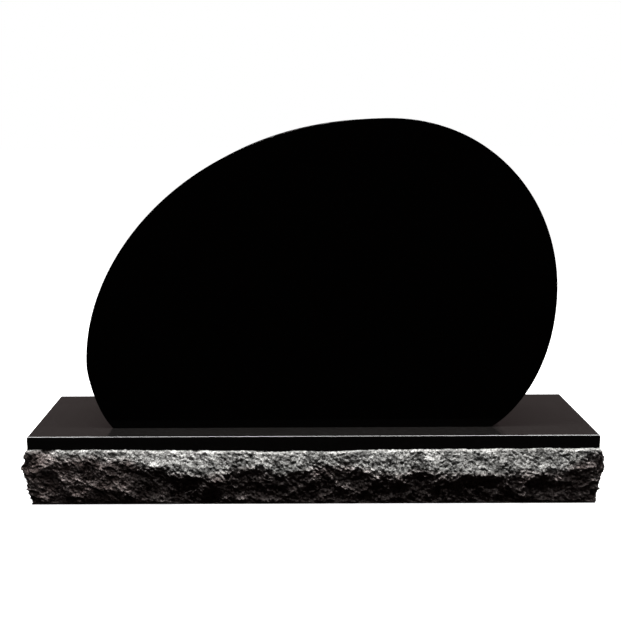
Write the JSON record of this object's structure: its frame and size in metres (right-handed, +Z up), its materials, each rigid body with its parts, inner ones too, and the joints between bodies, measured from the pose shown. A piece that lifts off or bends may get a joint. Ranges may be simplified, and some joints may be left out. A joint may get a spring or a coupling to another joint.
{
  "type": "headstone",
  "caption": "Upright polished granite tablet of leaning egg outline on a low granite base with polished top, polished margin and rock-pitched sides.",
  "frame": {"origin": "middle of the base's underside, on the ground", "axes": "+Z up, -Y out of the front face, +X to the right of someone facing the front"},
  "size_m": [1.263, 0.356, 0.8203],
  "materials": {
    "base_granite": "black granite, rock-pitched sides under a polished margin, polished top",
    "tablet_granite": "black granite, polished on every face"
  },
  "bodies": {
    "root": {"base": "base_granite", "tablet": "tablet_granite"}
  },
  "joints": []
}
